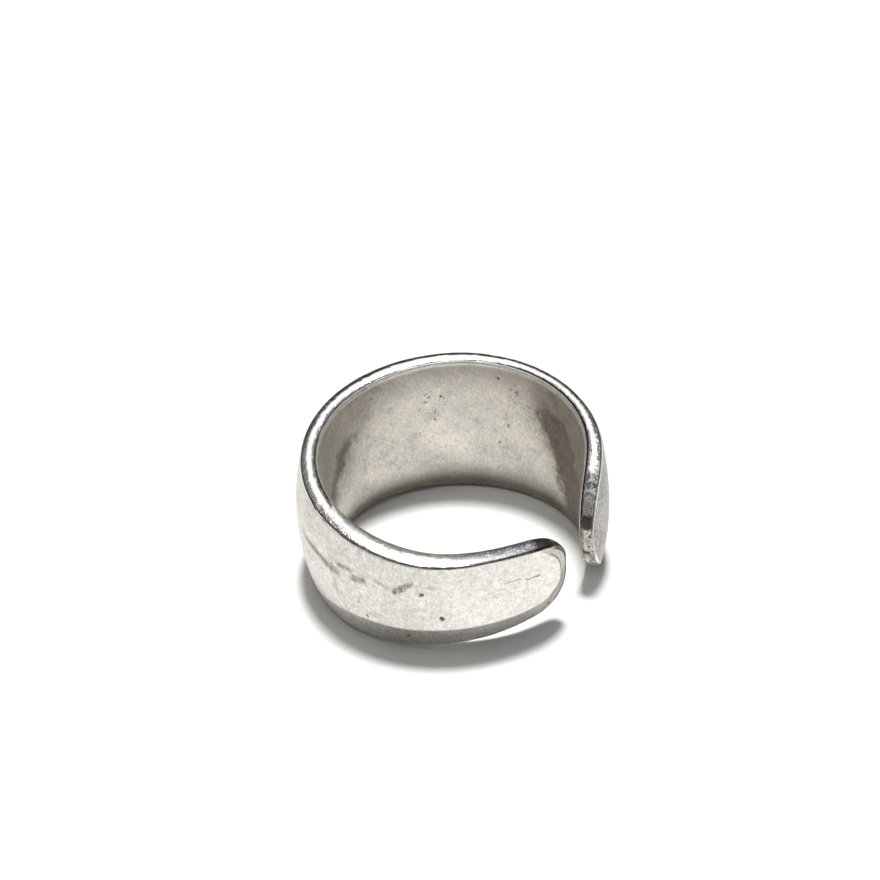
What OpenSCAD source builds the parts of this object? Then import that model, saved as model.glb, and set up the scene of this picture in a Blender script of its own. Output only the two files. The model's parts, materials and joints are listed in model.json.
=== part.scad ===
// An open finger ring bent from the tapering handle of a silver spoon. It lies on its side,
// resting on the lower edge of its band, with the gap between its tips at the front right.
// The origin is on the surface under the middle of the ring, and Z points up.

/* [Finger hole] */
// Diameter of the finger hole
hole_d = 18.5; // [16:0.1:21]
// Where the wide tip ends, in degrees anticlockwise from X, seen from above
wide_tip_a = -25; // [-28:1:-18]
// Where the narrow tip ends, counted on round the ring in the same way
narrow_tip_a = 316; // [308:0.5:318]

/* [Band width] */
// Width of the band where its wide tip starts to round off
wide_tip_w = 9.7; // [8:0.1:11]
// Width of the band at its widest, at the back of the ring
widest_w = 11.9; // [10:0.1:13]
// Width of the band at the left of the ring
left_w = 10.2; // [8:0.1:11]
// Width of the band in the middle of the front arm
front_w = 7.3; // [5.5:0.1:8]
// Width of the band where its narrow tip starts to round off
narrow_tip_w = 5.2; // [4.5:0.1:7]
// How far the front arm's middle line lies under the middle plane of the ring
front_drop = 0.1; // [0:0.05:0.4]
// How far the middle line of the narrow tip lies over it
tip_rise = 0.15; // [0:0.05:0.4]

/* [Band thickness] */
// Thickness of the band along its edges where it is least, at the right
thin_t = 1.15; // [0.9:0.05:1.4]
// The same where it is most, at the front
thick_t = 1.7; // [1.4:0.05:1.9]
// The same at both tips
tip_t = 1.4; // [1.1:0.05:1.6]
// Extra thickness along the middle of the face, at the back and at the left
crown = 0.65; // [0.2:0.05:0.8]
// The same along the front arm
front_crown = 0.04; // [0:0.01:0.3]
// Extra thickness at the foot of the front arm, so that its face looks up a little
foot = 0.42; // [0:0.01:0.5]

/* [Rounding] */
// Length of the rounded end at the wide tip
wide_round = 4; // [3:0.1:6]
// Length of the rounded end at the narrow tip
narrow_round = 2.7; // [2:0.1:4]
// Rounding of the edges on the finger's side
inner_round = 0.4; // [0.2:0.05:0.5]
// Rounding of the edges on the outer side
outer_round = 0.25; // [0.1:0.05:0.4]
// How far the crowned edges tilt to both sides where these rounds start, in degrees
edge_tilt = 20; // [10:1:30]
// How far the upper edge reaches down the face
shoulder = 0.4; // [0.2:0.05:0.8]
// How much thinner the band is there
shoulder_in = 0.02; // [0:0.01:0.1]
// How far the strip along the lower edge of the front arm reaches up the face
strip = 2.25; // [0.5:0.05:2.5]
// How much thinner the band is at the foot of this strip
strip_in = 0.55; // [0.05:0.01:0.7]
// How far the bevel round both tips reaches in from their ends
end_bevel = 1; // [0.3:0.05:1.2]
// Depth of the bevel round the tips
end_bevel_in = 0.3; // [0.05:0.05:0.5]

/* [Resting] */
// How far the ring leans to the front as it rests on its lower edge
lean_front = 4.6; // [3:0.1:6]
// How far it leans to the left
lean_left = 0.5; // [0:0.1:1.5]

/* [Hidden] */
hole_r = hole_d / 2;
middle_a = (wide_tip_a + narrow_tip_a) / 2;
half_span = (narrow_tip_a - wide_tip_a) / 2;
// Degrees round the ring for one millimetre along the middle of the band's wall
deg_per_mm = 180 / PI / (hole_r + thin_t / 2);
wide_round_a = wide_round * deg_per_mm;
narrow_round_a = narrow_round * deg_per_mm;

// The band along its length: a row for each place that was measured
function mix(from, to, share) = from + (to - from) * share;
A = 0;     // column: degrees round the ring
WIDE = 1;  // column: width of the band
LIFT = 2;  // column: height of the band's middle line out of the ring's middle plane
THICK = 3; // column: thickness at the edges
FULL = 4;  // column: extra thickness along the middle of the face
STRIP = 5; // column: share of the strip and of the foot's extra thickness that there is
rows = [
    [wide_tip_a, wide_tip_w, 0, tip_t, crown * 0.6, 0],
    [20, mix(wide_tip_w, widest_w, 0.63), 0, thin_t, crown * 0.8, 0],
    [75, widest_w, 0, mix(thin_t, thick_t, 0.2), crown, 0],
    [120, mix(widest_w, left_w, 0.3), 0, mix(thin_t, thick_t, 0.5), crown * 0.8, 0],
    [180, left_w, 0, mix(thin_t, thick_t, 0.25), crown, 0],
    [225, mix(left_w, front_w, 0.5), -front_drop, mix(thin_t, thick_t, 0.75), front_crown, 1],
    [258, mix(left_w, front_w, 0.97), -front_drop, thick_t, front_crown, 0.9],
    [290, mix(front_w, narrow_tip_w, 0.36), tip_rise, mix(tip_t, thick_t, 0.2), front_crown, 0.65],
    [narrow_tip_a, narrow_tip_w, tip_rise, tip_t, front_crown, 0.5]
];
last = len(rows) - 1;

// Value of a column at any angle, on a smooth curve through the rows
function slope(i, c) =
    let (p = max(i - 1, 0), q = min(i + 1, last))
    (rows[q][c] - rows[p][c]) / (rows[q][A] - rows[p][A]);
function row_before(a) = max([for (i = [0:last - 1]) if (i == 0 || rows[i][A] <= a) i]);
function along(a, c) =
    let (i = row_before(a), span = rows[i + 1][A] - rows[i][A], u = (a - rows[i][A]) / span)
    (2 * pow(u, 3) - 3 * u * u + 1) * rows[i][c]
    + (pow(u, 3) - 2 * u * u + u) * span * slope(i, c)
    + (3 * u * u - 2 * pow(u, 3)) * rows[i + 1][c]
    + (pow(u, 3) - u * u) * span * slope(i + 1, c);

// Stations along the band, each with the share of the width that its rounded end leaves
tip_steps = 9;
body_steps = 84;
tip_end = 0.99;
end_power = 2.4;
function end_share(x) = pow(1 - pow(x, end_power), 1 / end_power);
function into_end(m) = tip_end * sin(90 * m / tip_steps);
body_from = wide_tip_a + wide_round_a;
body_to = narrow_tip_a - narrow_round_a;
stations = concat(
    [for (m = [tip_steps:-1:1]) [body_from - wide_round_a * into_end(m), end_share(into_end(m))]],
    [for (m = [0:body_steps]) [mix(body_from, body_to, m / body_steps), 1]],
    [for (m = [1:tip_steps]) [body_to + narrow_round_a * into_end(m), end_share(into_end(m))]]
);

// Half of the band's section, from the finger's side round the edge to the middle of the face, for
// the thickness there and at the middle, and a bevel that reaches so far over the face and is so
// deep. Each point gives how far it lies in from the top of the edge, its height over the hole's
// wall, and how far it lies out from the middle line.
IN = 0;
OUT = 1;
SPREAD = 2;
wall_cut = 0.15;    // how far the inner wall is left proud, for the finger hole to cut it
corner_tilt = 78;   // where the rounding on the outer side ends, in degrees
inner_turns = [76, 48, edge_tilt];
edge_steps = 4;
corner_steps = 3;
face_steps = 6;
rise = sin(edge_tilt);
drop = 1 - cos(edge_tilt);
function round_in(crest, r, turn) = drop * (crest - r) + r * (1 - cos(turn));
function half_section(thick, inner_thick, reach, depth) =
    let (crest = (thick - depth - inner_round * (1 - rise)
             + outer_round * (rise - sin(corner_tilt))) / (2 * rise),
         middle = inner_round * (1 - rise) + crest * rise)
    concat(
        [[round_in(crest, inner_round, 90), -wall_cut, 1]],
        [for (turn = inner_turns)
            [round_in(crest, inner_round, turn), inner_round * (1 - sin(turn)), 1]],
        [for (k = [1:edge_steps]) let (turn = mix(-edge_tilt, edge_tilt, k / edge_steps))
            [crest * (1 - cos(turn)), middle + crest * sin(turn), 1]],
        [for (k = [1:corner_steps]) let (turn = mix(edge_tilt, corner_tilt, k / corner_steps))
            [round_in(crest, outer_round, turn),
             middle + (crest - outer_round) * rise + outer_round * sin(turn), 1]],
        [for (k = [0:face_steps])
            [reach, mix(thick, inner_thick, k / face_steps), 1 - k / face_steps]]
    );
// Both bevels are deeper where the face is fuller, so that its curve runs on over them
shoulder_share = 0.05;
points_half = 3 + len(inner_turns) + edge_steps + corner_steps + face_steps - 1;

// The points of the section at a station, in the ring's own frame; side is 1 above, -1 below
function band_side(station, side) =
    let (upper = along(station[0], THICK),
         stripped = max(along(station[0], STRIP), 0),
         lower = upper + foot * stripped * station[1],
         thick = side > 0 ? upper : lower,
         inner_thick = (upper + lower) / 2,
         share = side > 0 ? 0 : stripped,
         body = half_section(thick, inner_thick, mix(shoulder, strip, share),
             mix(shoulder_in, strip_in, share) + shoulder_share * along(station[0], FULL)),
         end = half_section(thick, inner_thick, end_bevel, end_bevel_in))
    [for (k = [0:points_half - 1])
        let (a = middle_a + (station[0] - middle_a) * (1 - end[k][IN] * deg_per_mm / half_span),
             spread = body[k][SPREAD],
             half_w = (along(a, WIDE) / 2 - body[k][IN]) * station[1] * spread,
             r = hole_r + mix(end[k][OUT], body[k][OUT], station[1])
                 + along(a, FULL) * (1 - spread * spread) * pow(station[1], 2))
        [r * cos(a), r * sin(a), along(a, LIFT) + side * half_w]];

// One section as a closed loop: up the upper half and back down the lower half
function section(station) =
    let (upper = band_side(station, 1), lower = band_side(station, -1))
    concat(upper, [for (k = [points_half - 2:-1:0]) lower[k]]);
loop_n = 2 * points_half - 1;
band_points = [for (s = stations) each section(s)];

// The faces join each section to the next, and close both ends across the band
station_n = len(stations);
function quad(a, b, c, d) = [[a, b, c], [a, c, d]];
band_faces = concat(
    [for (j = [0:station_n - 2], k = [0:loop_n - 1])
        let (n = (k + 1) % loop_n, here = j * loop_n, there = here + loop_n)
        each quad(here + k, there + k, there + n, here + n)],
    end_faces(0, false),
    end_faces((station_n - 1) * loop_n, true)
);
function end_faces(at, turned) = [
    for (k = [0:points_half - 2])
        let (a = at + k, b = at + k + 1, c = at + loop_n - 2 - k, d = at + loop_n - 1 - k)
        each (k == points_half - 2
            ? [turned ? [a, d, b] : [a, b, d]]
            : turned ? quad(a, d, c, b) : quad(a, b, c, d))
];

// How the ring lies: leaned over, then moved so that it stands on the surface, centred
function leaned(p) =
    let (y = p.y * cos(lean_front) - p.z * sin(lean_front),
         z = p.y * sin(lean_front) + p.z * cos(lean_front))
    [p.x * cos(lean_left) - z * sin(lean_left), y, p.x * sin(lean_left) + z * cos(lean_left)];
lying = [for (p = band_points) leaned(p)];
function low(c) = min([for (p = lying) p[c]]);
function high(c) = max([for (p = lying) p[c]]);
seat = [-(low(0) + high(0)) / 2, -(low(1) + high(1)) / 2, -low(2)];

module band() {
    color([0.85, 0.84, 0.81])
    translate(seat)
    rotate([lean_front, -lean_left, 0])
    difference() {
        polyhedron(points = band_points, faces = band_faces, convexity = 6);
        translate([0, 0, -widest_w]) cylinder(h = 2 * widest_w, r = hole_r, $fn = 180);
    }
}

band();
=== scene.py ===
import json
import math

import bmesh
import bpy
from mathutils import Euler, Matrix, Vector, noise


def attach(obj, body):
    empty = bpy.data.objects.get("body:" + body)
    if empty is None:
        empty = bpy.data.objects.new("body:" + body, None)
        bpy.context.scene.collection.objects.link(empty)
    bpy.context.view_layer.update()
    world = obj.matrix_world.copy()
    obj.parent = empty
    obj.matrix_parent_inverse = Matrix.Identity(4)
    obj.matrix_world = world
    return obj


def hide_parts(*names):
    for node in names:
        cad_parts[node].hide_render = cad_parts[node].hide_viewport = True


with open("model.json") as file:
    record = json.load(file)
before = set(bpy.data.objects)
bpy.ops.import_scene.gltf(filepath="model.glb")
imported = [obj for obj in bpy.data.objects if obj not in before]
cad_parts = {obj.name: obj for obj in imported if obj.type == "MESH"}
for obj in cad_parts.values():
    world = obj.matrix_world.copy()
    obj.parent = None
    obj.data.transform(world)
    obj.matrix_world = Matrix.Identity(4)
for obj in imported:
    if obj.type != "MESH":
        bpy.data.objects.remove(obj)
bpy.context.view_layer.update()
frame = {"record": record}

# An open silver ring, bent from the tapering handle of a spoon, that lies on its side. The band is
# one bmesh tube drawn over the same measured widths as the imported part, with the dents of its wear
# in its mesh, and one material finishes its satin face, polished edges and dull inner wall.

MM = 0.001

# The ring's driving sizes, in millimetres and degrees, as in the part's source
HOLE_R = 9.25
WIDE_TIP_A, NARROW_TIP_A = -25, 316
WIDE_TIP_W, WIDEST_W, LEFT_W, FRONT_W, NARROW_TIP_W = 9.7, 11.9, 10.2, 7.3, 5.2
THIN_T, THICK_T = 1.15, 1.7         # thickness at the band's edges, where it is least and most
TIP_T = 1.4                         # and at both tips
CROWN, FRONT_CROWN = 0.65, 0.04     # extra thickness along the middle of the face
FRONT_FOOT = 0.42                   # extra thickness at the foot of the front arm
FRONT_LIFT, TIP_LIFT = -0.1, 0.15   # height of the band's middle line
WIDE_ROUND, NARROW_ROUND = 4, 2.7   # length of the rounded ends
END_POWER = 2.4                     # their shape, which would be an ellipse at 2
INNER_ROUND, OUTER_ROUND = 0.4, 0.25
EDGE_TILT = 20                      # how far the crowned edge tilts where its rounds start
CORNER_TILT = 78                    # and where the outer round ends
# How far in over the face and how deep the shoulder of the upper edge reaches, and the strip along
# the front arm's lower edge, and the bevel round both tips. The first two are deeper by a share of
# the crown, so that the face's curve runs on over them.
SHOULDER, SHOULDER_IN = 0.4, 0.02
STRIP, STRIP_IN = 2.25, 0.55
END_BEVEL = (1, 0.3)
CROWN_SHARE = 0.05

MIDDLE_A = (WIDE_TIP_A + NARROW_TIP_A) / 2
HALF_SPAN = (NARROW_TIP_A - WIDE_TIP_A) / 2
DEG_PER_MM = math.degrees(1 / (HOLE_R + THIN_T / 2))


def mix(start, end, share):
    return start + (end - start) * share


def smooth(value, low, high):
    """0 below low and 1 above high, with a soft step between them."""
    share = min(max((value - low) / (high - low), 0), 1)
    return share * share * (3 - 2 * share)


def at(angle):
    """How far along the band an angle round the ring lies, in millimetres."""
    return angle / DEG_PER_MM


# The band along its length: degrees round the ring, width, height of its middle line, thickness,
# crown of its face, and how much there is of the lower strip and of the foot's extra thickness
ANGLE, WIDTH, LIFT, THICK, FULL, STRIPPED = range(6)
ROWS = [
    (WIDE_TIP_A, WIDE_TIP_W, 0, TIP_T, CROWN * 0.6, 0),
    (20, mix(WIDE_TIP_W, WIDEST_W, 0.63), 0, THIN_T, CROWN * 0.8, 0),
    (75, WIDEST_W, 0, mix(THIN_T, THICK_T, 0.2), CROWN, 0),
    (120, mix(WIDEST_W, LEFT_W, 0.3), 0, mix(THIN_T, THICK_T, 0.5), CROWN * 0.8, 0),
    (180, LEFT_W, 0, mix(THIN_T, THICK_T, 0.25), CROWN, 0),
    (225, mix(LEFT_W, FRONT_W, 0.5), FRONT_LIFT, mix(THIN_T, THICK_T, 0.75), FRONT_CROWN, 1),
    (258, mix(LEFT_W, FRONT_W, 0.97), FRONT_LIFT, THICK_T, FRONT_CROWN, 0.9),
    (290, mix(FRONT_W, NARROW_TIP_W, 0.36), TIP_LIFT, mix(TIP_T, THICK_T, 0.2), FRONT_CROWN, 0.65),
    (NARROW_TIP_A, NARROW_TIP_W, TIP_LIFT, TIP_T, FRONT_CROWN, 0.5),
]


def along(angle, column):
    """Value of a column at any angle, on a smooth curve through the rows."""
    last = len(ROWS) - 1

    def slope(i):
        before, after = ROWS[max(i - 1, 0)], ROWS[min(i + 1, last)]
        return (after[column] - before[column]) / (after[ANGLE] - before[ANGLE])

    i = max(n for n in range(last) if n == 0 or ROWS[n][ANGLE] <= angle)
    span = ROWS[i + 1][ANGLE] - ROWS[i][ANGLE]
    u = (angle - ROWS[i][ANGLE]) / span
    return ((2 * u ** 3 - 3 * u * u + 1) * ROWS[i][column]
            + (u ** 3 - 2 * u * u + u) * span * slope(i)
            + (3 * u * u - 2 * u ** 3) * ROWS[i + 1][column]
            + (u ** 3 - u * u) * span * slope(i + 1))


# How finely the band is drawn: stations along it, and points from the middle of its wall, round
# its edge, to the middle of its face. The zones of the section are counted in the same order, and
# a point's place is its zone and how far it is through it: 2.5 is halfway over the crowned edge.
BODY_STATIONS = 432
TIP_STATIONS = 26
LAST_STATION = BODY_STATIONS + 2 * TIP_STATIONS
WALL, INNER, EDGE, CORNER, SHELF, FACE = range(6)
ZONE_STEPS = (14, 9, 12, 9, 10, 40)
HALF_SECTION = sum(ZONE_STEPS)
WELD = 0.0005   # millimetres between points that are one

# Marks of wear, each placed by its angle round the ring and its height in millimetres over the
# middle plane. The crease is a dent's upper border, from its start to its end.
CREASE = [(197.5, 1.15), (200, 0.95), (206.5, 0.9), (211.5, 0.9), (216, 0.7), (219, 0.65), (221.5, 0.7)]
CREASE_DEPTH = 0.1
# Worn dark smudges on the face: start, end, half width, strength
SMUDGES = [
    ((223.5, 1.4), (228.5, 1.5), 0.12, 0.65), ((230.5, 0.95), (234.5, 1.1), 0.15, 0.75),
    ((240, 1.55), (245, 1.25), 0.1, 0.35), ((247.5, 1.1), (250, 1.45), 0.15, 0.85),
    ((250, 1.45), (253, 1.9), 0.11, 0.8), ((260, 1.75), (261.5, 1.75), 0.12, 0.3),
    ((220.5, -0.2), (222.5, -1.1), 0.12, 0.25),
]
SMUDGE_DEPTH = 0.03
# Scratches on the face, in the same way
SCRATCHES = [
    ((294.5, 1.1), (300, 0.95), 0.03, 0.6), ((286.5, 1.3), (292, 1.35), 0.025, 0.35),
    ((279, 0.8), (286, 0.95), 0.02, 0.25), ((207, -3.5), (216, -2.9), 0.04, 0.3),
    ((216, -2.9), (224, -2.75), 0.03, 0.25), ((199, -3.1), (208, -2.6), 0.03, 0.25),
]
# Pits on the face: angle, height, radius, depth
FACE_PITS = [
    (257, 1.15, 0.17, 0.03), (263.5, -0.8, 0.19, 0.06), (251, -2.7, 0.17, 0.03), (304, -2.05, 0.16, 0.02),
    (236, -1.7, 0.1, 0.01), (219.5, 1.1, 0.1, 0.01),
]
# Pits on the inner wall, in the same way
WALL_PITS = [
    (127, 4.25, 0.14, 0.03), (99, 2.8, 0.15, 0.02), (93.5, 2.7, 0.16, 0.03), (96, 1.55, 0.12, 0.03),
    (101, 2.35, 0.17, 0.02), (97, 0.65, 0.12, 0.02), (66, 4.6, 0.17, 0.03), (57, 3.65, 0.2, 0.03),
    (60, 3.8, 0.1, 0.02), (53.5, 2.4, 0.14, 0.02), (46, 2.55, 0.24, 0.04), (44.5, 2.1, 0.16, 0.03),
    (62, 0.4, 0.2, 0.01), (67, -1.35, 0.16, 0.03), (41, 1.4, 0.14, 0.02), (27, 1.35, 0.12, 0.02),
    (148.5, 0.1, 0.16, 0.02), (118, 1.2, 0.12, 0.01), (39, 3.3, 0.1, 0.02), (110, 4.3, 0.1, 0.02),
]
# Where fine specks gather on the wall: angle, height, radius
WALL_SPECKS = [
    (99, 2.8, 0.9), (94, 2.4, 0.9), (96.5, 1.4, 0.8), (103, 1.8, 0.7),
    (58, 3.2, 1.1), (50, 2.2, 1), (149, 0.3, 0.7), (43, 0.5, 1),
]


def station(index):
    """Where a station lies, in degrees, and the share of the width that the rounded end leaves."""
    body_from = WIDE_TIP_A + WIDE_ROUND * DEG_PER_MM
    body_to = NARROW_TIP_A - NARROW_ROUND * DEG_PER_MM
    past = max(TIP_STATIONS - index, index - LAST_STATION + TIP_STATIONS, 0)
    into = math.sin(math.pi / 2 * past / TIP_STATIONS)
    share = (1 - into ** END_POWER) ** (1 / END_POWER) if past < TIP_STATIONS else 0
    if index < TIP_STATIONS:
        return body_from - WIDE_ROUND * DEG_PER_MM * into, share
    if past:
        return body_to + NARROW_ROUND * DEG_PER_MM * into, share
    return mix(body_from, body_to, (index - TIP_STATIONS) / BODY_STATIONS), share


def section_place(step):
    """Place of a point on the half section, from 0 in the middle of the wall."""
    for zone, steps in enumerate(ZONE_STEPS):
        if step <= steps:
            return zone + step / steps
        step -= steps


def half_section(place, thick, reach, depth):
    """How far a point lies in from the edge's top, and over the wall, on a band of that thickness."""
    zone = min(int(place), FACE)
    share = place - zone
    rise, drop = math.sin(math.radians(EDGE_TILT)), 1 - math.cos(math.radians(EDGE_TILT))
    corner = math.sin(math.radians(CORNER_TILT))
    crest = (thick - depth - INNER_ROUND * (1 - rise) + OUTER_ROUND * (rise - corner)) / (2 * rise)
    middle = INNER_ROUND * (1 - rise) + crest * rise
    wall_in = drop * (crest - INNER_ROUND)
    if zone == WALL:
        return wall_in + INNER_ROUND, 0
    if zone == INNER:
        turn = math.radians(mix(90, EDGE_TILT, share))
        return wall_in + INNER_ROUND * (1 - math.cos(turn)), INNER_ROUND * (1 - math.sin(turn))
    if zone == EDGE:
        turn = math.radians(mix(-EDGE_TILT, EDGE_TILT, share))
        return crest * (1 - math.cos(turn)), middle + crest * math.sin(turn)
    turn = math.radians(mix(EDGE_TILT, CORNER_TILT, min(place - CORNER, 1)))
    inset = drop * (crest - OUTER_ROUND) + OUTER_ROUND * (1 - math.cos(turn))
    up = middle + (crest - OUTER_ROUND) * rise + OUTER_ROUND * math.sin(turn)
    if zone == CORNER:
        return inset, up
    if zone == SHELF:
        return mix(inset, reach, share), mix(up, thick, share)
    return reach, thick


def band_point(index, step, side):
    """A point's angle, how far it lies over the wall and over the middle plane, and its place."""
    angle, share = station(index)
    place = section_place(step)
    thick, stripped = along(angle, THICK), max(along(angle, STRIPPED), 0)
    foot = FRONT_FOOT * stripped * share
    if side > 0:
        stripped = 0
    else:
        thick += foot
    reach = mix(SHOULDER, STRIP, stripped)
    depth = mix(SHOULDER_IN, STRIP_IN, stripped) + CROWN_SHARE * along(angle, FULL)
    spread = min(place, 1, FACE + 1 - place)
    tilt = -side * foot / 2 * (spread - 1) if place > FACE else 0
    inset, out = half_section(place, thick, reach, depth)
    end_inset, end_out = half_section(place, thick, *END_BEVEL)
    angle = MIDDLE_A + (angle - MIDDLE_A) * (1 - end_inset * DEG_PER_MM / HALF_SPAN)
    half_w = (along(angle, WIDTH) / 2 - inset) * share * spread
    full = 1 - spread ** 2 if place > FACE else 0
    over = mix(end_out, out, share) + tilt + along(angle, FULL) * full * share ** 2
    return angle, over, along(angle, LIFT) + side * half_w, place


def ripple(length, height, place, size, seed):
    """Smooth waves over the surface, from 0 to 1, as wide as size in millimetres."""
    where = Vector((length / size, height / size + seed, place * 0.7 / size))
    return min(max(0.5 + noise.noise(where), 0), 1)


def off_line(length, height, start, end):
    """The way from a line between two marks to a point of the band, and the line's own way."""
    begin = Vector((at(start[0]), start[1]))
    way = Vector((at(end[0]), end[1])) - begin
    there = Vector((length, height)) - begin
    return there - way * min(max(there.dot(way) / way.length_squared, 0), 1), way


def crease_dent(length, height):
    """The dent whose upper border is the crease: steep at the line, and fading out below it."""
    start, end = at(CREASE[0][0]), at(CREASE[-1][0])
    if not (start - 1 < length < end + 1 and -1.5 < height < 2.5):
        return 0
    nearest = []
    for first, second in zip(CREASE, CREASE[1:]):
        off, way = off_line(length, height, first, second)
        nearest.append((off.length, 1 if way.cross(off) < 0 else -1))
    far, side = min(nearest)
    under = far * side
    fade = smooth(length, start - 0.3, start + 0.5) * (1 - smooth(length, end - 1.2, end + 0.6))
    return CREASE_DEPTH * fade * smooth(under, -0.2, 0.25) * (1 - smooth(under, 0.2, 1.6))


def smudge_dents(length, height):
    worn = 0
    for start, end, half_width, strength in SMUDGES:
        if at(start[0]) - 0.5 < length < at(end[0]) + 0.5:
            off = off_line(length, height, start, end)[0].length / half_width
            worn += SMUDGE_DEPTH * strength * (1 - smooth(off, 0.2, 1.6))
    return worn


def pitted(length, height, pits):
    worn = 0
    for angle, up, radius, depth in pits:
        if abs(length - at(angle)) < radius * 1.3 and abs(height - up) < radius * 1.3:
            off = math.hypot(length - at(angle), height - up) / radius
            worn += depth * (1 - smooth(off, 0.2, 1.2))
    return worn


# The waves of wear over the surface: how deep they go, how wide they are, and their seed
WIDE_WAVES = (0.016, 2.6, 3)
NARROW_WAVES = (0.006, 0.9, 11)
NICKS = (0.014, 0.45, 29)   # in the edges, from the top of the waves alone
NICKS_FROM = 0.6
EDGE_WORN = 0.006           # how far the edges are taken in everywhere


def wear(length, height, place):
    """How far wear has taken the surface in, in millimetres."""
    worn = 0
    for depth, size, seed in (WIDE_WAVES, NARROW_WAVES):
        worn += depth * ripple(length, height, place, size, seed)
    if place > CORNER + 0.9:
        dents = crease_dent(length, height) + smudge_dents(length, height)
        return worn + dents + pitted(length, height, FACE_PITS)
    if place < INNER:
        return worn + pitted(length, height, WALL_PITS)
    depth, size, seed = NICKS
    nick = max(ripple(length, height, place, size, seed) - NICKS_FROM, 0) / (1 - NICKS_FROM)
    return worn + EDGE_WORN + depth * nick


def build_band():
    """The band's mesh: a tube whose rings are its sections, closed where they shrink to nothing."""
    bm = bmesh.new()
    bmesh.ops.create_cone(bm, cap_ends=False, segments=2 * HALF_SECTION, radius1=1, radius2=1, depth=1)
    rails = [e for e in bm.edges if abs(e.verts[0].co.z - e.verts[1].co.z) > 0.5]
    bmesh.ops.subdivide_edges(bm, edges=rails, cuts=LAST_STATION - 1, use_grid_fill=True)

    strip = bm.verts.layers.float_vector.new("strip")
    mount = frame["record"]["mounts"][0]
    axis = Vector(mount["axis"])
    lean = Euler((math.asin(-axis.y), -math.atan2(-axis.x, axis.z), 0)).to_matrix()
    for v in bm.verts:
        index = round((v.co.z + 0.5) * LAST_STATION)
        step = round(math.degrees(math.atan2(v.co.y, v.co.x)) / 180 * HALF_SECTION)
        angle, over, height, place = band_point(index, abs(step), 1 if step >= 0 else -1)
        turn = math.radians(angle)
        radius = HOLE_R + over
        v.co = lean @ (Vector((radius * math.cos(turn), radius * math.sin(turn), height)) * MM)
        v.co += Vector(mount["pos_m"])
        v[strip] = (at(angle), height, place)
    bmesh.ops.remove_doubles(bm, verts=bm.verts, dist=WELD * MM)
    bmesh.ops.recalc_face_normals(bm, faces=bm.faces)
    bm.normal_update()
    for v, inward in [(v, -v.normal) for v in bm.verts]:
        v.co += inward * wear(*v[strip]) * MM
    for f in bm.faces:
        f.smooth = True
    mesh = bpy.data.meshes.new("band_of_silver")
    bm.to_mesh(mesh)
    bm.free()
    piece = bpy.data.objects.new("silver_band", mesh)
    bpy.context.scene.collection.objects.link(piece)
    return piece


class Value:
    """A socket of a shader, with Python's operators for its maths."""

    def __init__(self, tree, socket):
        self.tree, self.socket = tree, socket

    def math(self, operation, *values):
        return make(self.tree, "ShaderNodeMath", {"operation": operation}, dict(enumerate(values)))

    def __add__(self, other):
        return self.math("ADD", self, other)

    def __sub__(self, other):
        return self.math("SUBTRACT", self, other)

    def __rsub__(self, other):
        return self.math("SUBTRACT", other, self)

    def __mul__(self, other):
        return self.math("MULTIPLY", self, other)

    def __truediv__(self, other):
        return self.math("DIVIDE", self, other)

    def __abs__(self):
        return self.math("ABSOLUTE", self)

    __radd__, __rmul__ = __add__, __mul__

    def least(self, other):
        return self.math("MINIMUM", self, other)

    def most(self, other):
        return self.math("MAXIMUM", self, other)

    def step(self, low, high):
        """0 at low and 1 at high, with a soft step between them."""
        return make(self.tree, "ShaderNodeMapRange", {"interpolation_type": "SMOOTHSTEP"},
                    {"Value": self, "From Min": low, "From Max": high})

    def between(self, low, high, soft):
        """1 from low to high, with soft steps at both."""
        return self.step(low - soft, low + soft) * (1 - self.step(high - soft, high + soft))


def make(tree, kind, settings=None, values=None, out=0):
    """Adds a node, sets it up, fills or links its inputs, and gives one of its outputs."""
    made = tree.nodes.new(kind)
    for name, setting in (settings or {}).items():
        setattr(made, name, setting)
    for name, value in (values or {}).items():
        if isinstance(value, Value):
            tree.links.new(value.socket, made.inputs[name])
        else:
            made.inputs[name].default_value = value
    return Value(tree, made.outputs[out]) if made.outputs else made


def vector(tree, operation, *values):
    """A vector's maths; the answers of three of the operations are plain numbers."""
    number = operation in ("DISTANCE", "DOT_PRODUCT", "LENGTH")
    names = (0, "Scale") if operation == "SCALE" else range(len(values))
    return make(tree, "ShaderNodeVectorMath", {"operation": operation}, dict(zip(names, values)),
                out="Value" if number else "Vector")


def split(tree, whole):
    """The three numbers of a vector."""
    parts = make(tree, "ShaderNodeSeparateXYZ", None, {0: whole}).socket.node.outputs
    return [Value(tree, part) for part in parts]


def mix_colours(share, first, second):
    """first where share is 0 and second where it is 1."""
    return make(share.tree, "ShaderNodeMix", {"data_type": "RGBA"}, {0: share, 6: first, 7: second}, out=2)


def strongest(masks):
    result = masks[0]
    for mask in masks[1:]:
        result = result.most(mask)
    return result


def new_finish(name):
    """A material and its empty node tree."""
    finish = bpy.data.materials.new(name)
    finish.use_nodes = True
    finish.node_tree.nodes.clear()
    return finish, finish.node_tree


# The silver's colours: satin and rosy patches of the face, polished edges, the dull wall and the
# darker colour of its darker zones, which also paints shade low down by the table, the dull line
# along the front arm, grey roughness, cream for the bevels and for painted reflections on the wide
# tip, a brown that paints a dark reflection by the narrow tip, and a dark colour for marks and
# grime that also paints shade and dark reflections
SATIN = (0.76, 0.74, 0.695, 1)
ROSE = (0.70, 0.67, 0.65, 1)
POLISHED = (0.93, 0.92, 0.90, 1)
DULL = (0.83, 0.80, 0.735, 1)
DARK_ZONES_AND_SHADE = (0.27, 0.24, 0.205, 1)
OLIVE = (0.41, 0.40, 0.36, 1)
COOL = (0.19, 0.19, 0.20, 1)
CREAM = (0.47, 0.44, 0.37, 1)
BROWN = (0.06, 0.042, 0.036, 1)
GRIME_AND_SHADE = (0.045, 0.035, 0.03, 1)
BRIGHTEST = (0.97, 0.97, 0.97)

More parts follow.
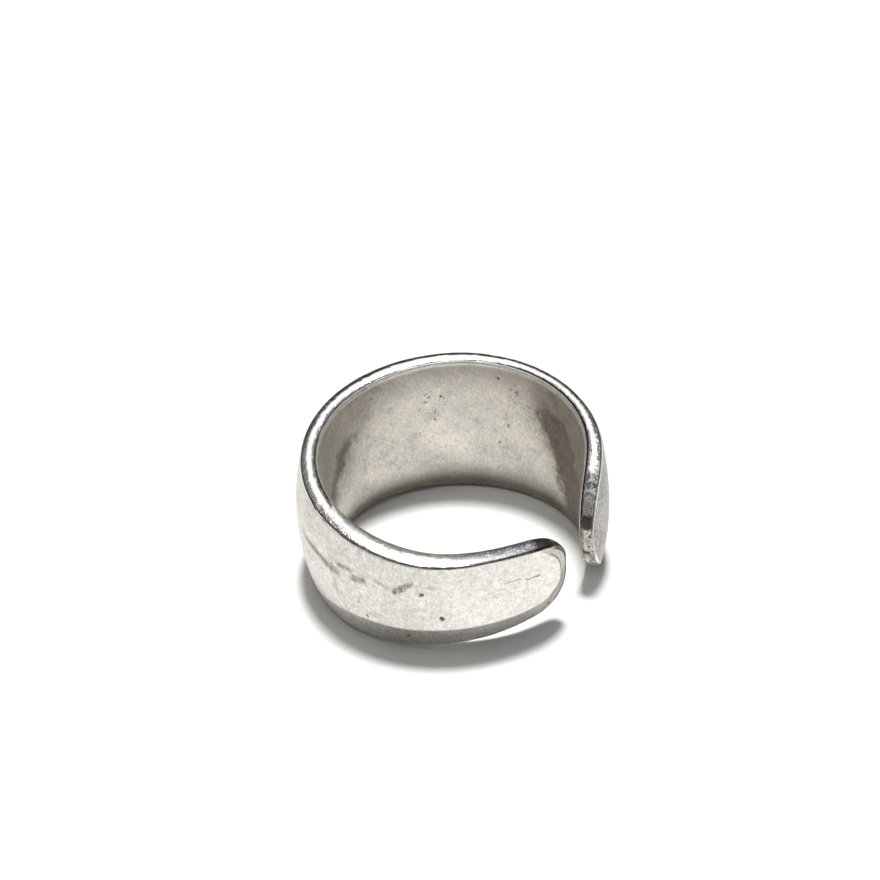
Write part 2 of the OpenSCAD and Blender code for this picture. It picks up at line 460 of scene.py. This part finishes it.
# The angles round the ring between which one finish gives way to the next
WIDE_END = (-23.5, -20.5)
RIGHT_EDGE = (52, 72)
FRONT_ARM = (200, 226)
GREY_TIP = (262, 284)
NARROW_END = (300, 303)
# How far along the band the wall's darker zones start at the right, and at the left, in the middle plane,
# and how much these borders slant, as millimetres along the band for one up
RIGHT_DARK_ZONE, LEFT_DARK_ZONE = 6.9, 24.8
RIGHT_SLANT, LEFT_SLANT = -0.55, 0.95
# Half widths and soft borders of the strokes that the marks on the face are drawn with
CREASE_LINE = (0.12, 0.4)
SMUDGE_SOFT = 2.8   # in half widths of the smudge
SCRATCH_SOFT = 0.06
# The finest relief, which a bump gives: its depth in millimetres, and its strength
BUMP_DEPTH, BUMP_STRENGTH = 0.02, 0.6


class Surface:
    """The band as its finish sees it: where a point lies, and patches that break the finishes up."""

    def __init__(self, tree):
        self.tree = tree
        self.strip = make(tree, "ShaderNodeAttribute", {"attribute_name": "strip"}, out="Vector")
        self.length, self.height, self.place = split(tree, self.strip)
        coordinates = make(tree, "ShaderNodeTexCoord", out="Object")
        self.body = vector(tree, "MULTIPLY", coordinates, (1 / MM,) * 3)

        self.broad, self.patchy = self.cloud(3, 3), self.cloud(1.1, 3, 0.5, 0.6)
        self.mottled, self.fine = self.cloud(0.42, 3, 0.6, 0.8), self.cloud(0.13, 2, 0.6)
        self.grain = self.streaks(0.32, 1.8, 3)
        self.clean = self.fine.step(0.5, 0.62) * self.mottled.step(0.4, 0.6)
        self.ragged = (self.mottled * 0.5 + self.fine * 0.5).step(0.44, 0.56)
        self.here = self.drifting()

        self.upper = self.height.step(-0.3, 0.3)
        self.face = self.place.step(SHELF - 0.1, SHELF + 0.1)
        self.wall = 1 - self.place.step(INNER - 0.05, INNER + 0.05)
        self.front = self.beyond(*FRONT_ARM)
        self.to_tip = (self.length + (self.patchy - 0.5) * 2).step(at(GREY_TIP[0]), at(GREY_TIP[1]))
        self.right_edge = 1 - self.beyond(*RIGHT_EDGE)
        self.narrow_end = self.beyond(*NARROW_END)
        self.wide_end = 1 - self.beyond(*WIDE_END)

    def beyond(self, start, end):
        """0 before one angle round the ring and 1 past another."""
        return self.length.step(at(start), at(end))

    def cloud(self, size, detail=2, rough=0.5, swirl=0):
        """Soft patches as wide as size in millimetres, 0 to 1."""
        return make(self.tree, "ShaderNodeTexNoise", None,
                    {"Vector": self.body, "Scale": 1 / size, "Detail": detail,
                     "Roughness": rough, "Distortion": swirl})

    def streaks(self, size, slim, detail):
        """Patches that are so many times slimmer than long, with their length up the band."""
        return make(self.tree, "ShaderNodeTexNoise", None,
                    {"Vector": vector(self.tree, "MULTIPLY", self.strip, (slim, 1, 1)),
                     "Scale": 1 / size, "Detail": detail})

    def drifting(self):
        """The place along and across the band, moved to and fro, so that marks aren't straight."""
        tree = self.tree
        drift = make(tree, "ShaderNodeTexNoise", None,
                     {"Vector": self.body, "Scale": 2.6, "Detail": 4, "Roughness": 0.65}, out="Color")
        drift = vector(tree, "SUBTRACT", drift, (0.5, 0.5, 0.5))
        flat = vector(tree, "MULTIPLY", self.strip, (1, 1, 0))
        return vector(tree, "ADD", flat, vector(tree, "MULTIPLY", drift, (0.5, 0.5, 0)))

    def spotted(self, spots):
        """1 in the middle of every spot of a list with angle, height and radius first."""
        masks = []
        for angle, up, radius, *_ in spots:
            away = vector(self.tree, "DISTANCE", self.here, (at(angle), up, 0))
            masks.append(1 - away.step(radius * 0.25, radius * 1.3))
        return strongest(masks)

    def stroke(self, start, end, half_width, soft):
        """1 along a straight line between two places, each an angle and a height."""
        first, last = Vector((at(start[0]), start[1], 0)), Vector((at(end[0]), end[1], 0))
        way = last - first
        off = vector(self.tree, "SUBTRACT", self.here, tuple(first))
        share = vector(self.tree, "DOT_PRODUCT", off, tuple(way)) / way.length_squared
        nearest = vector(self.tree, "SCALE", tuple(way), share.most(0).least(1))
        away = vector(self.tree, "LENGTH", vector(self.tree, "SUBTRACT", off, nearest))
        return 1 - away.step(half_width, half_width + soft)


def dull_line(on):
    """Along the edge on the finger's side: narrow at the back, and the whole edge by the narrow tip."""
    ragged = (on.patchy - 0.5) * (0.1 + on.front * 0.5) + (on.mottled - 0.5) * (0.1 + on.front * 0.4)
    border = INNER + 0.72 + on.front * 0.75 + on.to_tip * 0.75 + ragged
    return (1 - on.place.step(border - 0.05, border + 0.05)) * (1 - on.wall)


def plain_colours(on, dull):
    """The silver before its darker zones, marks and painted shade: the satin face, the polished edges with
    their dull line, the wall.
    """
    colour = mix_colours(on.face, POLISHED, SATIN)
    colour = mix_colours(on.face * on.patchy.step(0.45, 0.7) * 0.7, colour, ROSE)
    colour = mix_colours(dull * on.front, colour, OLIVE)
    colour = mix_colours(dull * on.to_tip, colour, COOL)
    rubbed = dull * on.to_tip * on.clean * on.place.step(EDGE, EDGE + 0.5)
    colour = mix_colours(rubbed * 0.5, colour, POLISHED)
    return mix_colours(on.wall, colour, DULL)


def wall_darkening_and_shade(on):
    """Darker beyond slanting borders at both sides of the wall and under the upper edge; the darkening low
    down, by the table, is painted shade.
    """
    uneven = (on.broad - 0.5) * 1.8 + (on.patchy - 0.5) * 3 + (on.mottled - 0.5) * 1.6
    from_right = on.length + on.height * RIGHT_SLANT + uneven
    from_left = on.length + on.height * LEFT_SLANT + uneven
    right_side = 1 - from_right.step(RIGHT_DARK_ZONE - 1.8, RIGHT_DARK_ZONE + 1.4)
    right_core = from_right.between(RIGHT_DARK_ZONE - 4.4, RIGHT_DARK_ZONE - 0.4, 1.3)
    right_core = right_core * (1 - on.height.step(2.5, 4.5))
    left_side = from_left.step(LEFT_DARK_ZONE - 2, LEFT_DARK_ZONE + 1.4)
    left_core = from_left.between(LEFT_DARK_ZONE + 0.4, LEFT_DARK_ZONE + 3.2, 1.3)
    left_core = left_core * (1 - on.height.step(1.5, 3.5))
    under_edge = (on.height + (on.patchy - 0.5)).step(2.6, 5.2)
    # Painted shade: darker low down on the wall, by the table and its shadow.
    low_down = 1 - (on.height + (on.patchy - 0.5) * 0.8).step(-5.5, -3.1)
    stain = strongest([right_side * 0.72, right_core * 1.25, left_side * 0.48, left_core * 0.95,
                       under_edge * 0.57, low_down * 0.75])
    stain = stain + (on.patchy - 0.5) * 1.1 + (on.mottled - 0.5) * 0.25 + stain * (on.fine - 0.5) * 0.8
    return (on.wall * stain).least(1).most(0)


def foot_painted_shade(on):
    """Painted shade in the inner round of the lower edge, where it meets the table, up to where the front
    arm starts.
    """
    return on.place.between(INNER - 0.1, EDGE + 0.2, 0.1) * (1 - on.upper) * (1 - on.beyond(200, 215))


def tip_colours(on, wide_edge, colour):
    """Cream bevels round both tips, with painted reflections: cream and grey on the wide one's edge, and a
    brown patch by the narrow one.
    """
    bevel = on.place.between(SHELF, FACE - 0.07, 0.04) * on.narrow_end.most(on.wide_end * 0.5)
    colour = mix_colours(bevel * 0.85, colour, CREAM)
    # Painted reflections on the wide tip's edge: cream low down, grey higher up.
    colour = mix_colours(wide_edge * (1 - on.height.step(-0.1, 0.5)) * 0.5, colour, CREAM)
    grey = wide_edge * on.height.step(0.1, 0.7) * (1 - on.place.step(CORNER, CORNER + 0.3))
    colour = mix_colours(grey * (0.65 - on.clean * 0.6), colour, COOL)
    # Painted dark reflection: a brown patch by the narrow tip's upper edge.
    patch = (on.length + (on.place - CORNER) * 0.3).between(at(300), at(308), 0.2)
    patch = patch * on.place.between(INNER + 0.5, SHELF - 0.05, 0.12) * on.upper
    return mix_colours(patch * (0.6 + on.mottled).step(0.6, 0.85) * 0.95, colour, BROWN)


def tip_shade_and_dots(on):
    """Painted dark reflections and shade: lines round the narrow tip's rim and bevel, and blots on the
    wide tip's edge; and dark dots on the wide tip's edge.
    """
    rim = on.place.between(EDGE + 0.7, SHELF + 0.15, 0.08) * on.beyond(305, 309) * 0.9
    bevel_line = on.place.between(FACE - 0.12, FACE + 0.05, 0.04) * on.beyond(303, 306)
    bevel_line = bevel_line * (0.3 + on.mottled * 0.6)
    upper_blot = (on.height + (on.mottled - 0.5) * 0.6).between(0.2, 1.5, 0.2)
    upper_blot = upper_blot * on.place.between(EDGE, CORNER + 0.2, 0.15)
    lower_blot = on.height.between(-2.2, -1.8, 0.15) * on.place.between(EDGE, EDGE + 0.7, 0.1)
    blots = on.wide_end * upper_blot.most(lower_blot)
    dots = on.wide_end * on.fine.step(0.55, 0.62) * on.place.between(EDGE - 0.1, CORNER + 0.6, 0.3)
    return [rim, bevel_line, blots * 0.85, dots * 0.5]


def edge_dark_reflections(on):
    """Painted dark reflections along the edge: between the dull line and the polish, and under the outer
    corner.
    """
    line_to = EDGE - 0.1 + on.right_edge * 0.12 + (on.mottled - 0.5) * 0.4
    line = on.place.between(EDGE - 0.34, line_to, 0.04) * (1 - on.front) * on.upper
    line = line * (0.45 + on.patchy + on.right_edge * 0.4).least(1)
    corner = on.place.between(CORNER + 0.05, CORNER + 0.7, 0.12) * on.upper
    corner = corner * (0.45 + on.patchy * 0.6).least(1)
    return [line, corner]


def edge_speckle(on):
    """Fine dark speckle along both borders of the polish, most of it at the right and the left."""
    outer = on.place.between(EDGE + 0.55, CORNER + 0.4, 0.15)
    inner = on.place.between(EDGE - 0.25, EDGE + 0.2, 0.1)
    left = on.beyond(140, 165) * (1 - on.beyond(222, 245))
    sides = (1 - on.beyond(45, 75)).most(left)
    return on.fine.step(0.52, 0.6) * outer.most(inner * 0.8) * (0.3 + sides * 0.7) * (1 - on.face)


def face_marks(on):
    """The crease's dark line, which is painted shade, most of it at its ends, and the smudges, scratches
    and pits of the face.
    """
    crease = strongest([on.stroke(start, end, *CREASE_LINE) for start, end in zip(CREASE, CREASE[1:])])
    crease = crease * (0.35 + on.ragged * 0.4)
    crease = crease * on.beyond(195, 203) + crease * on.length.between(at(205), at(219), 0.4) * 0.2
    smudged = strongest([on.stroke(start, end, 0, width * SMUDGE_SOFT) * strength
                         for start, end, width, strength in SMUDGES])
    smudged = (smudged * 1.6).least(1) * (0.25 + on.ragged * 0.7)
    scratched = strongest([on.stroke(start, end, width, SCRATCH_SOFT) * strength
                           for start, end, width, strength in SCRATCHES])
    scratched = scratched * on.patchy.step(0.2, 0.45)
    return strongest([crease * 0.85, smudged * 0.8, scratched, on.spotted(FACE_PITS) * 0.95]) * on.face


def wall_marks(on):
    """The wall's pits, the fine specks round them, and faint rubbed swirls right of its middle."""
    pits = on.spotted(WALL_PITS) * (0.15 + on.ragged * 0.75) * on.wall
    specks = on.spotted(WALL_SPECKS) * on.fine.step(0.53, 0.62) * on.wall
    swirls = 1 - abs(on.cloud(0.9, 3, 0.5, 2.2) - 0.5).step(0, 0.035)
    swirls = swirls * on.length.between(6.5, 15, 1.5) * on.height.between(-2.5, 4, 1)
    swirls = swirls * on.patchy.step(0.4, 0.6) * on.wall
    return [pits, specks * 0.6, swirls * 0.14]


def shade(on, shiny):
    """How much lighter or darker than its colour the silver is, from place to place: uneven tone all over,
    and painted light and shade on the face and on the front arm's lower strip.
    """
    level = 1 + (on.mottled - 0.5) * 0.7 + (on.grain - 0.5) * 0.6 + (on.fine - 0.5) * 0.7
    level = level + (on.broad - 0.5) * 0.3
    wall = (on.patchy - 0.5) * 0.8 - (on.mottled - 0.5) * 0.35 + (on.broad - 0.5) * 0.35 - 0.03
    level = level + on.wall * wall
    level = level + (1 - level) * (shiny * 0.8)
    # Painted light and shade on the face: lighter towards the narrow tip, darker on the wide tip's face,
    # and darker higher up.
    face = (on.beyond(228, 290) - 0.5) * 0.18 - (1 - on.beyond(-14, 22)) * 0.4
    level = level + on.face * (face - on.height.step(0.5, 3) * 0.06)
    # Painted shade: the strip along the front arm's lower edge is darkened for the table's shadow that it
    # reflects.
    painted_strip_shade = on.place.between(CORNER + 0.5, FACE - 0.04, 0.03) * (1 - on.upper) * on.beyond(222, 252)
    return level * (1 - painted_strip_shade * 0.36)


def roughness(on, dull, shiny, dark, speckle, wide_edge):
    rough = 0.12 + on.face * 0.29 + on.wall * 0.4 + dull * 0.36 + dark * 0.25
    rough = rough + speckle * 0.2 + wide_edge * 0.4
    rough = rough + (1 - on.beyond(-17, -9)) * shiny * on.mottled.step(0.44, 0.54) * 0.4
    rough = rough + (on.mottled - 0.5) * 0.16 + (on.fine - 0.5) * 0.12 * (1 - shiny)
    return rough.least(0.8).most(0.08)


def relief(on, dull, dark, speckle):
    """Bumps too fine for the mesh: deepest on the dull line, the speckle, the face and the wall."""
    bumps = on.fine * 0.5 + on.mottled * 0.8 + on.grain * 0.5 + on.cloud(0.07, 1) * 0.3 - dark * 0.6
    depth = 0.2 + on.wall * 0.4 + on.face * 0.4 + dull * 0.9 + speckle * 0.5
    return make(on.tree, "ShaderNodeBump", None,
                {"Strength": BUMP_STRENGTH, "Distance": BUMP_DEPTH * MM, "Height": bumps * depth})


def silver():
    """Worn silver: satin over the face, polished along the edges, dull and darker in zones inside, with
    shade and dark reflections painted into its colour in places.
    """
    finish, tree = new_finish("worn_silver")
    on = Surface(tree)
    dull, speckle = dull_line(on), edge_speckle(on)
    shiny = (1 - dull) * (1 - on.wall) * (1 - on.face)
    wide_edge = on.wide_end * on.place.between(INNER + 0.6, SHELF - 0.05, 0.15)
    # Dark marks and grime, and painted shade and dark reflections, all drawn in one dark colour
    dark = strongest([face_marks(on), *wall_marks(on), *edge_dark_reflections(on), *tip_shade_and_dots(on), speckle * 0.9])

    colour = plain_colours(on, dull)
    # The wall's darker zones, with painted shade low down and in the lower edge's inner round
    colour = mix_colours(wall_darkening_and_shade(on), colour, DARK_ZONES_AND_SHADE)
    colour = mix_colours(foot_painted_shade(on) * 0.85, colour, DARK_ZONES_AND_SHADE)
    colour = tip_colours(on, wide_edge, colour)
    colour = mix_colours(dark.least(1), colour, GRIME_AND_SHADE)
    colour = vector(tree, "SCALE", colour, shade(on, shiny))
    colour = vector(tree, "MINIMUM", colour, BRIGHTEST)
    shader = make(tree, "ShaderNodeBsdfPrincipled", None,
                  {"Base Color": colour, "Metallic": 1,
                   "Roughness": roughness(on, dull, shiny, dark, speckle, wide_edge),
                   "Normal": relief(on, dull, dark, speckle)})
    make(tree, "ShaderNodeOutputMaterial", None, {"Surface": shader})
    return finish


# The light. The broad one is a strip of the sky: it starts and ends at these climbs, in degrees up
# from the horizon behind the ring and over the top, reaches so far to both sides, and lies further
# to the left past the top. What is around it is lighter behind the ring and at the camera's side.
BROAD_LIGHT = 1.15
BROAD_START, BROAD_END = (38, 45), (122, 130)
BROAD_SIDE = (0.13, 0.27)
TOP, OVER_TO_LEFT = (75, 105), 0.17
AROUND, AROUND_BEHIND, AROUND_CAMERA = 0.04, 0.14, 0.1
AROUND_START = (34, 46)
BACKGROUND = 1.05
LIGHT_COLOUR = (1, 0.995, 0.985, 1)
# The key light: its distance, size, power, and tilt to the back and to the left in degrees
KEY_DISTANCE, KEY_SIZE, KEY_POWER = 1.2, 0.19, 15.5
KEY_BACK, KEY_LEFT = 7.8, -2.5


def sky():
    """A broad soft light behind and over the ring, dark near the horizon and behind the camera."""
    world = bpy.data.worlds.new("studio")
    bpy.context.scene.world = world
    world.use_nodes = True
    tree = world.node_tree
    tree.nodes.clear()
    across, back, up = split(tree, make(tree, "ShaderNodeTexCoord", out="Generated"))
    climb = up.math("ARCTAN2", up, back) * (180 / math.pi)
    over = climb.step(*TOP) * OVER_TO_LEFT
    past_end = climb.step(*BROAD_END)
    near, far = BROAD_SIDE
    broad = climb.step(*BROAD_START) * (1 - past_end)
    broad = broad * (1 - abs(across + over).step(over + near, over + far))
    around = AROUND + climb.step(*AROUND_START) * (1 - past_end) * AROUND_BEHIND
    around = around + past_end * AROUND_CAMERA
    level = around + broad * (BROAD_LIGHT - around)
    seen = make(tree, "ShaderNodeLightPath", out="Is Camera Ray")
    level = level * (1 - seen) + seen * BACKGROUND
    light = make(tree, "ShaderNodeBackground", None, {"Color": LIGHT_COLOUR, "Strength": level})
    make(tree, "ShaderNodeOutputWorld", None, {"Surface": light})


def key_light():
    """A small round light overhead, which gives the ring its shadow."""
    lamp = bpy.data.lights.new("key", "AREA")
    lamp.shape, lamp.size, lamp.energy = "DISK", KEY_SIZE, KEY_POWER
    key = bpy.data.objects.new("key", lamp)
    slope_back, slope_left = math.tan(math.radians(KEY_BACK)), math.tan(math.radians(KEY_LEFT))
    way = Vector((-slope_left, slope_back, 1)).normalized()
    key.location = way * KEY_DISTANCE
    key.rotation_euler = way.to_track_quat("Z", "Y").to_euler()
    bpy.context.scene.collection.objects.link(key)


TABLE_HALF = 2   # metres
PALE = (0.82, 0.815, 0.80, 1)


def floor():
    """A wide plain pale table."""
    bm = bmesh.new()
    bmesh.ops.create_grid(bm, x_segments=1, y_segments=1, size=TABLE_HALF)
    mesh = bpy.data.meshes.new("table_top")
    bm.to_mesh(mesh)
    bm.free()
    top = bpy.data.objects.new("table", mesh)
    bpy.context.scene.collection.objects.link(top)
    finish, tree = new_finish("pale_table")
    shader = make(tree, "ShaderNodeBsdfPrincipled", None,
                  {"Base Color": PALE, "Roughness": 0.9, "Specular IOR Level": 0.2})
    make(tree, "ShaderNodeOutputMaterial", None, {"Surface": shader})
    mesh.materials.append(finish)


# The camera: the point of the table that it was measured from, how far it is from there in
# millimetres, how high it looks down, and the pixel of the picture where that point shows
AIM = (-0.058, -0.157)
FRAME_PX, SENSOR = 880, 36
FOCAL_PX = 1741.9
CAMERA_MM = 126.66
CAMERA_UP, CAMERA_ROLL = 36.46, -3.30
FOOT_PX = (448.6, 563.2)
CLIP = (0.01, 10)


def camera():
    data = bpy.data.cameras.new("camera")
    data.sensor_width, data.lens = SENSOR, SENSOR * FOCAL_PX / FRAME_PX
    data.clip_start, data.clip_end = CLIP
    up = math.radians(CAMERA_UP)
    place = Vector((0, -math.cos(up), math.sin(up))) * CAMERA_MM * MM
    ahead = -place.normalized()
    right = Vector((1, 0, 0))
    over = right.cross(ahead)
    px, py = ((pixel - FRAME_PX / 2) / FOCAL_PX for pixel in FOOT_PX)
    look = (ahead - right * px + over * py).normalized()
    level = look.cross(Vector((0, 0, 1))).normalized()
    roll = math.radians(CAMERA_ROLL)
    side = level * math.cos(roll) + level.cross(look) * math.sin(roll)
    turned = Matrix((side, side.cross(look), -look)).transposed().to_4x4()
    eye = bpy.data.objects.new("camera", data)
    eye.matrix_world = Matrix.Translation(place + Vector((*AIM, 0)) * MM) @ turned
    bpy.context.scene.collection.objects.link(eye)
    bpy.context.scene.camera = eye


camera()
sky()
key_light()
floor()
band = build_band()
band.data.materials.append(silver())
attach(band, "root")
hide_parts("band")
bpy.context.scene.view_settings.view_transform = "Standard"
